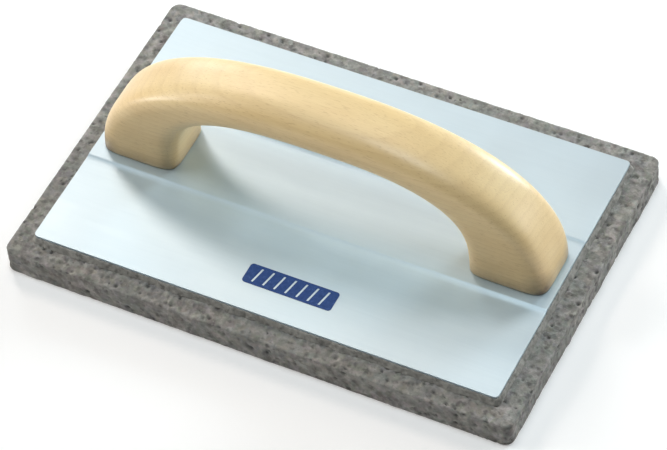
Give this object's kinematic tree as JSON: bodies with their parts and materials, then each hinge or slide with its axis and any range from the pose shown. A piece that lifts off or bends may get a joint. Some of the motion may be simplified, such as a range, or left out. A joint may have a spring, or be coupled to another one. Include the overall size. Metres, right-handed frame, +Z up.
{
  "type": "rubber-faced hand float",
  "caption": "Flat cellular rubber pad bonded under a sheet metal backing plate, with a wooden arch handle on top, for floating and smoothing wet mortar, grout or concrete.",
  "frame": {"origin": "centre of the pad's flat working face, which is the bottom of the tool", "axes": "+X along the handle and the pad's long side, +Y across the pad away from the printed mark, +Z up out of the plate through the handle"},
  "size_m": [0.2286, 0.1524, 0.0738],
  "materials": {
    "cellular_rubber": "open-celled, matte, grey-brown with dark pores and pale specks",
    "rubber_cement": "matte grey-brown, with crumbs of the pad stuck in it",
    "plate_metal": "satin, mill-finish light alloy sheet",
    "handle_wood": "smooth pale hardwood under a thin clear lacquer",
    "mark_ink": "screen-printed blue ink",
    "screw_steel": "zinc-plated"
  },
  "bodies": {
    "root": {"pad": "cellular_rubber", "bond_layer": "rubber_cement", "back_plate": "plate_metal", "handle": "handle_wood", "printed_mark": "mark_ink", "screw_left_outer": "screw_steel", "screw_left_inner": "screw_steel", "screw_right_inner": "screw_steel", "screw_right_outer": "screw_steel"}
  },
  "joints": []
}
